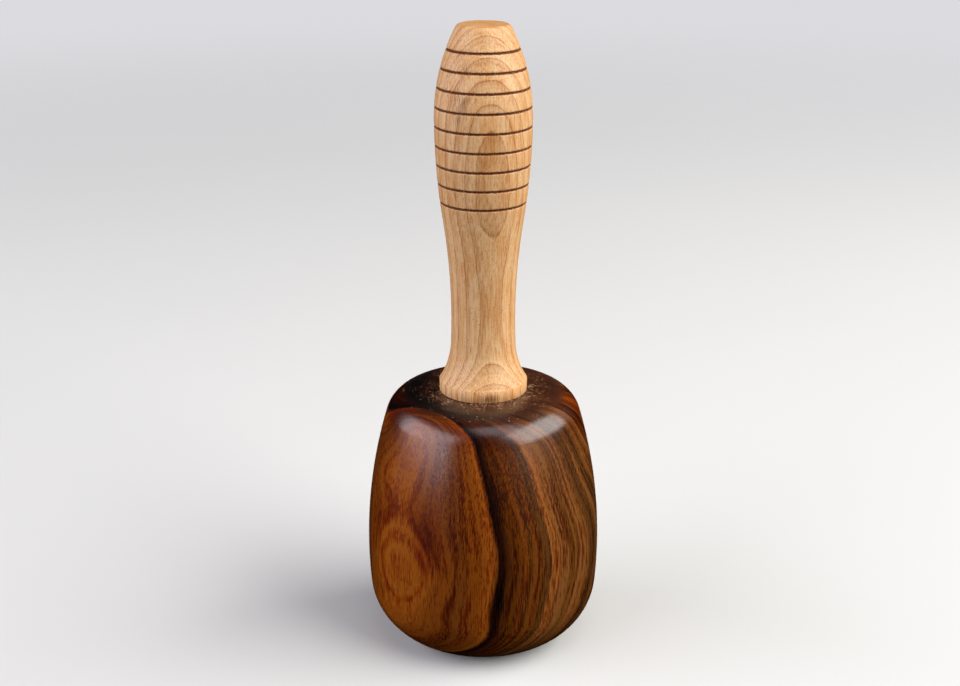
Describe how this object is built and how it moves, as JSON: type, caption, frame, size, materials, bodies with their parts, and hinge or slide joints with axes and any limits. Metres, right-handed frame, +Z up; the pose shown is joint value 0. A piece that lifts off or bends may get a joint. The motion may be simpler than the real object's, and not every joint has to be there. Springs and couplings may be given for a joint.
{
  "type": "carving mallet",
  "caption": "Round turned hardwood mallet head, barrel shaped, on a turned maple handle with a swelled, grooved grip, joined by a wedged through tenon.",
  "frame": {"origin": "centre of the flat nose face of the head, the face that the mallet stands on", "axes": "+Z up the turning axis, from the nose through the head to the butt of the handle; +X across the wedge's thickness; +Y along the wedge's width"},
  "size_m": [0.0878, 0.0878, 0.2347],
  "materials": {
    "head_wood": "dark streaked rosewood-like hardwood, turned, oiled and burnished to a satin",
    "handle_wood": "pale maple, turned and sanded, thin matt oil, with burned dark brown grooves",
    "wedge_wood": "brown hardwood end grain, turned flush with the nose"
  },
  "bodies": {
    "root": {"mallet_head": "head_wood", "handle": "handle_wood", "tenon_wedge": "wedge_wood"}
  },
  "joints": []
}
